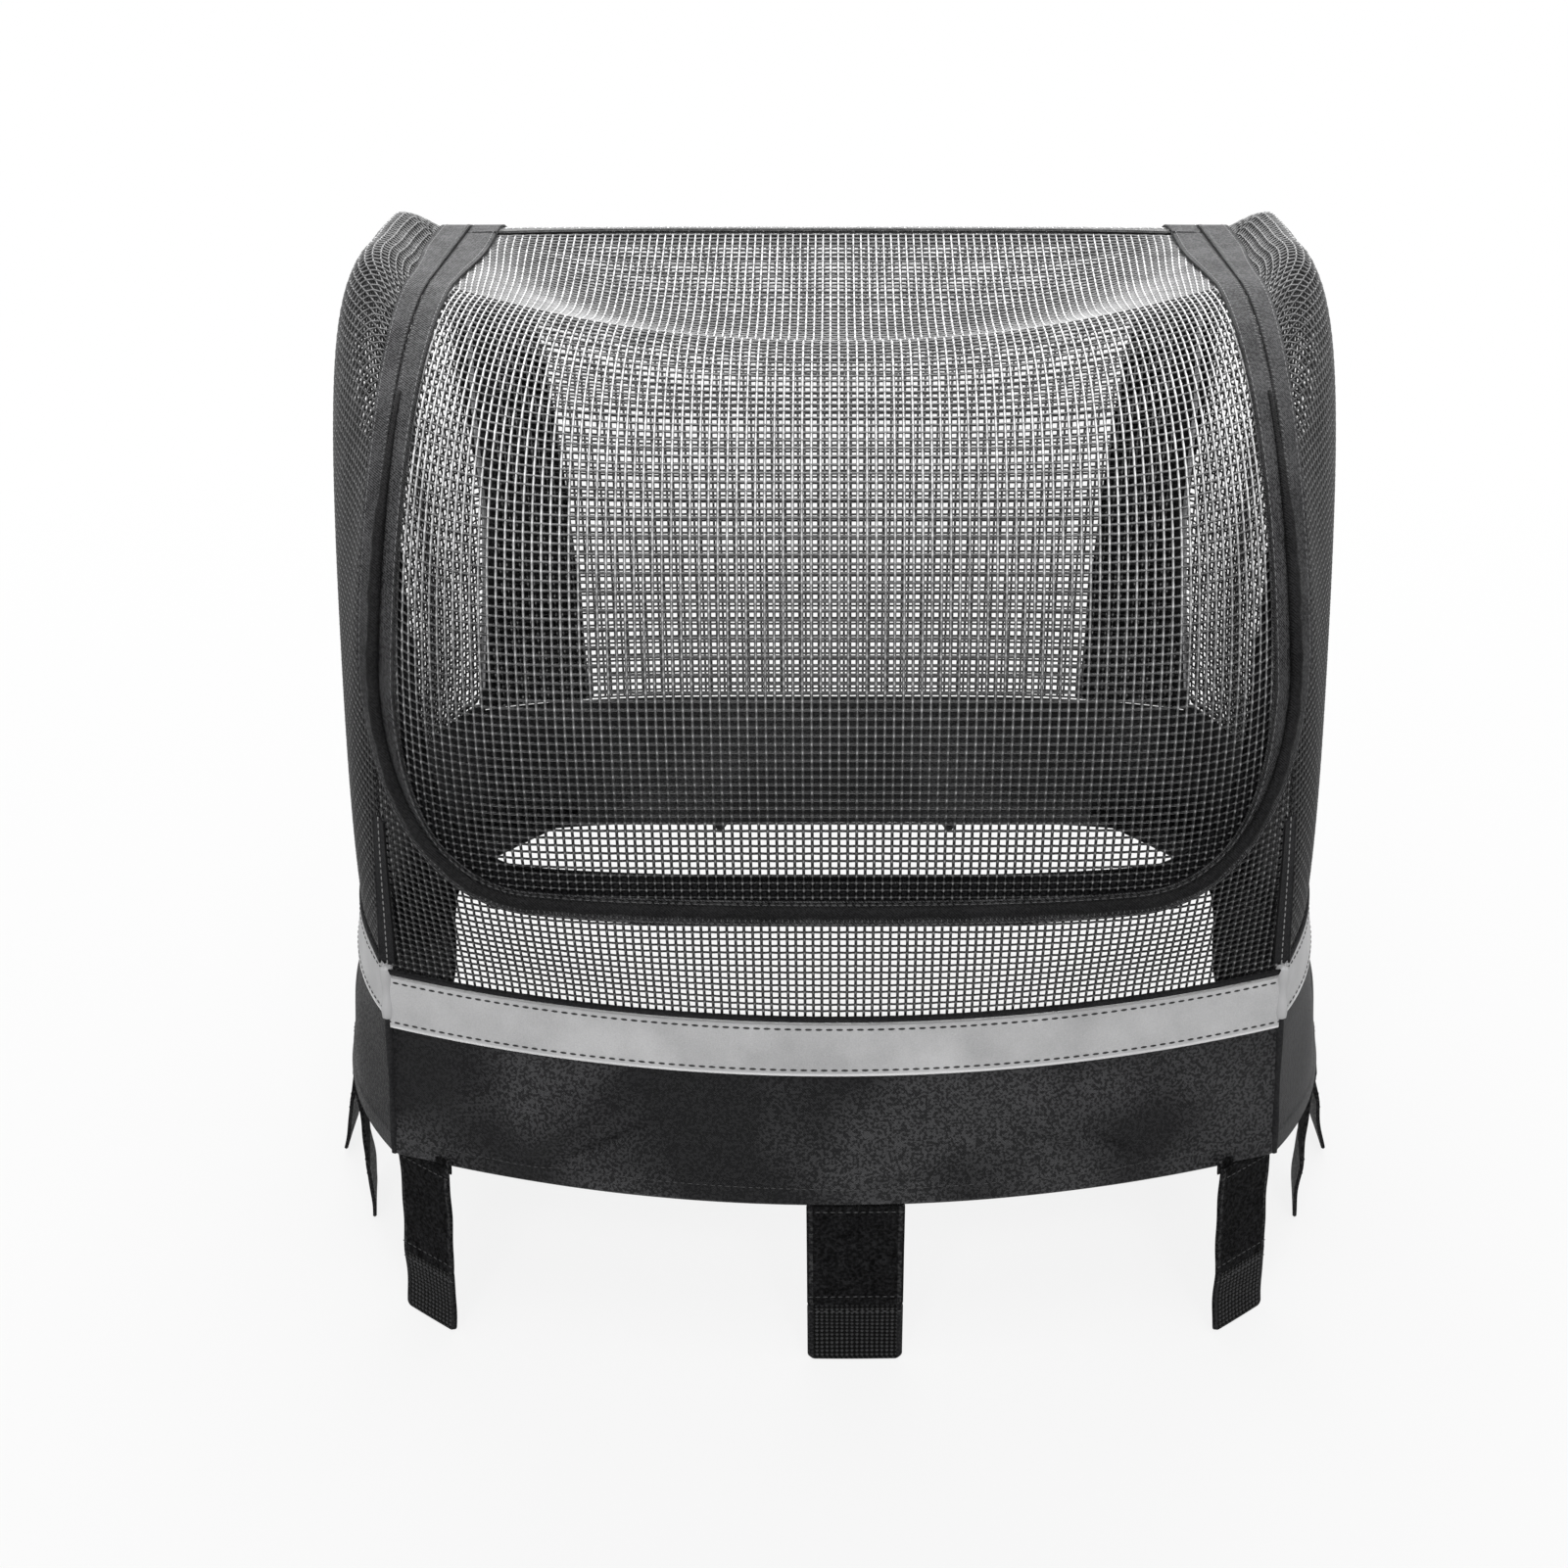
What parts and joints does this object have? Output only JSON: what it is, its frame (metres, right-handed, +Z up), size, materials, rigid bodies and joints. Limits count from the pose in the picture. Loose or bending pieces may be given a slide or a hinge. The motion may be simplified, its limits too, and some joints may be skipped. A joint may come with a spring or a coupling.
{
  "type": "bicycle pet basket mesh hood",
  "caption": "Zipped net hood for a bicycle pet basket: domed mesh body, front-opening zipped door, cloth skirt with reflective tape and hanging hook-and-loop straps.",
  "frame": {"origin": "centre of the hem plane, where the hood sits on a basket rim, halfway between the arches and at the hinge-to-front reference Y 0", "axes": "+X to the right seen from the front, +Y to the rear, +Z up from the hem; the front faces -Y"},
  "size_m": [0.4976, 0.333, 0.4439],
  "materials": {
    "net": "matt coated open net",
    "oxford_cloth": "woven cloth",
    "reflective_tape": "satin grey retroreflective tape",
    "binding": "woven binding",
    "zip_tape": "fine woven tape",
    "zip_coil": "nylon coil",
    "piping": "rolled tape edge",
    "spring_wire": "drawn steel wire",
    "slider_metal": "black coated zinc",
    "loop_tape": "napped loop tape",
    "hook_tape": "hook tape"
  },
  "bodies": {
    "hood": {"zip_tape_body": "zip_tape", "zip_coil_body": "zip_coil", "front_mesh": "net", "rear_mesh": "net", "rear_corner_strip_left": "oxford_cloth", "rear_corner_strip_right": "oxford_cloth", "zip_end_tape_left": "zip_tape", "zip_end_tape_right": "zip_tape", "hinge_binding": "binding", "side_mesh_left": "net", "side_mesh_right": "net", "corner_binding_left": "binding", "corner_binding_right": "binding", "arch_wire_left": "spring_wire", "arch_wire_right": "spring_wire", "skirt_front": "oxford_cloth", "reflective_tape_front": "reflective_tape", "skirt_rear": "oxford_cloth", "skirt_left": "oxford_cloth", "reflective_tape_left": "reflective_tape", "skirt_right": "oxford_cloth", "reflective_tape_right": "reflective_tape", "waist_binding_front": "binding", "waist_binding_left": "binding", "waist_binding_right": "binding", "rear_hem_tab_left": "oxford_cloth", "rear_hem_tab_right": "oxford_cloth"},
    "door": {"door_mesh": "net", "zip_tape_door": "zip_tape", "zip_coil_door": "zip_coil", "door_piping": "piping"},
    "slider_left": {"slider_left": "slider_metal"},
    "slider_pull_left": {"slider_pull_left": "slider_metal"},
    "slider_right": {"slider_right": "slider_metal"},
    "slider_pull_right": {"slider_pull_right": "slider_metal"},
    "strap_loop_front": {"strap_loop_front": "loop_tape"},
    "strap_hook_front": {"strap_hook_front": "hook_tape"},
    "strap_loop_corner_left": {"strap_loop_corner_left": "loop_tape"},
    "strap_hook_corner_left": {"strap_hook_corner_left": "hook_tape"},
    "strap_loop_corner_right": {"strap_loop_corner_right": "loop_tape"},
    "strap_hook_corner_right": {"strap_hook_corner_right": "hook_tape"},
    "strap_loop_middle_left": {"strap_loop_middle_left": "loop_tape"},
    "strap_hook_middle_left": {"strap_hook_middle_left": "hook_tape"},
    "strap_loop_middle_right": {"strap_loop_middle_right": "loop_tape"},
    "strap_hook_middle_right": {"strap_hook_middle_right": "hook_tape"},
    "strap_loop_rear_left": {"strap_loop_rear_left": "loop_tape"},
    "strap_hook_rear_left": {"strap_hook_rear_left": "hook_tape"},
    "strap_loop_rear_right": {"strap_loop_rear_right": "loop_tape"},
    "strap_hook_rear_right": {"strap_hook_rear_right": "hook_tape"}
  },
  "joints": [
    {"name": "door_hinge", "type": "hinge", "parent": "hood", "child": "door", "pos_m": [0, 0.09, 0.3508], "axis": [-1, 0, 0], "range_deg": [0, 165]},
    {"name": "slider_left_travel", "type": "hinge", "parent": "hood", "child": "slider_left", "pos_m": [-0.16731, 0.101, 0.306], "axis": [1, 0, 0], "range_deg": [0, 50]},
    {"name": "slider_pull_left_swing", "type": "hinge", "parent": "slider_left", "child": "slider_pull_left", "pos_m": [-0.16731, 0.13542, 0.33488], "axis": [1, 0, 0], "range_deg": [0, 172]},
    {"name": "slider_right_travel", "type": "hinge", "parent": "hood", "child": "slider_right", "pos_m": [0.16731, 0.101, 0.306], "axis": [1, 0, 0], "range_deg": [0, 50]},
    {"name": "slider_pull_right_swing", "type": "hinge", "parent": "slider_right", "child": "slider_pull_right", "pos_m": [0.16731, 0.13542, 0.33488], "axis": [1, 0, 0], "range_deg": [0, 172]},
    {"name": "strap_front_swing", "type": "hinge", "parent": "hood", "child": "strap_loop_front", "pos_m": [0.009, -0.16542, -0.0017], "axis": [-1, 0, 0], "range_deg": [-80, 80]},
    {"name": "strap_front_fold", "type": "hinge", "parent": "strap_loop_front", "child": "strap_hook_front", "pos_m": [0.009, -0.16712, -0.05585], "axis": [-1, 0, 0], "range_deg": [0, 170]},
    {"name": "strap_corner_left_swing", "type": "hinge", "parent": "hood", "child": "strap_loop_corner_left", "pos_m": [-0.17907, -0.13545, -0.0017], "axis": [-0.8032, 0.5957, 0], "range_deg": [-80, 80]},
    {"name": "strap_corner_left_fold", "type": "hinge", "parent": "strap_loop_corner_left", "child": "strap_hook_corner_left", "pos_m": [-0.18233, -0.13985, -0.05559], "axis": [-0.8032, 0.5957, 0], "range_deg": [0, 170]},
    {"name": "strap_corner_right_swing", "type": "hinge", "parent": "hood", "child": "strap_loop_corner_right", "pos_m": [0.17907, -0.13545, -0.0017], "axis": [-0.8032, -0.5957, 0], "range_deg": [-80, 80]},
    {"name": "strap_corner_right_fold", "type": "hinge", "parent": "strap_loop_corner_right", "child": "strap_hook_corner_right", "pos_m": [0.18233, -0.13985, -0.05559], "axis": [-0.8032, -0.5957, 0], "range_deg": [0, 170]},
    {"name": "strap_middle_left_swing", "type": "hinge", "parent": "hood", "child": "strap_loop_middle_left", "pos_m": [-0.22542, -0.058, -0.0017], "axis": [-0.1831, 0.9831, 0], "range_deg": [-80, 80]},
    {"name": "strap_middle_left_fold", "type": "hinge", "parent": "strap_loop_middle_left", "child": "strap_hook_middle_left", "pos_m": [-0.22709, -0.05831, -0.05585], "axis": [-0.1831, 0.9831, 0], "range_deg": [0, 170]},
    {"name": "strap_middle_right_swing", "type": "hinge", "parent": "hood", "child": "strap_loop_middle_right", "pos_m": [0.22542, -0.058, -0.0017], "axis": [-0.1831, -0.9831, 0], "range_deg": [-80, 80]},
    {"name": "strap_middle_right_fold", "type": "hinge", "parent": "strap_loop_middle_right", "child": "strap_hook_middle_right", "pos_m": [0.22709, -0.05831, -0.05585], "axis": [-0.1831, -0.9831, 0], "range_deg": [0, 170]},
    {"name": "strap_rear_left_swing", "type": "hinge", "parent": "hood", "child": "strap_loop_rear_left", "pos_m": [-0.23, -0.008, -0.00166], "axis": [-0.0137, 0.9999, 0], "range_deg": [-80, 80]},
    {"name": "strap_rear_left_fold", "type": "hinge", "parent": "strap_loop_rear_left", "child": "strap_hook_rear_left", "pos_m": [-0.24292, -0.00818, -0.05428], "axis": [-0.0137, 0.9999, 0], "range_deg": [0, 170]},
    {"name": "strap_rear_right_swing", "type": "hinge", "parent": "hood", "child": "strap_loop_rear_right", "pos_m": [0.23, -0.008, -0.00166], "axis": [-0.0137, -0.9999, 0], "range_deg": [-80, 80]},
    {"name": "strap_rear_right_fold", "type": "hinge", "parent": "strap_loop_rear_right", "child": "strap_hook_rear_right", "pos_m": [0.24292, -0.00818, -0.05428], "axis": [-0.0137, -0.9999, 0], "range_deg": [0, 170]}
  ]
}
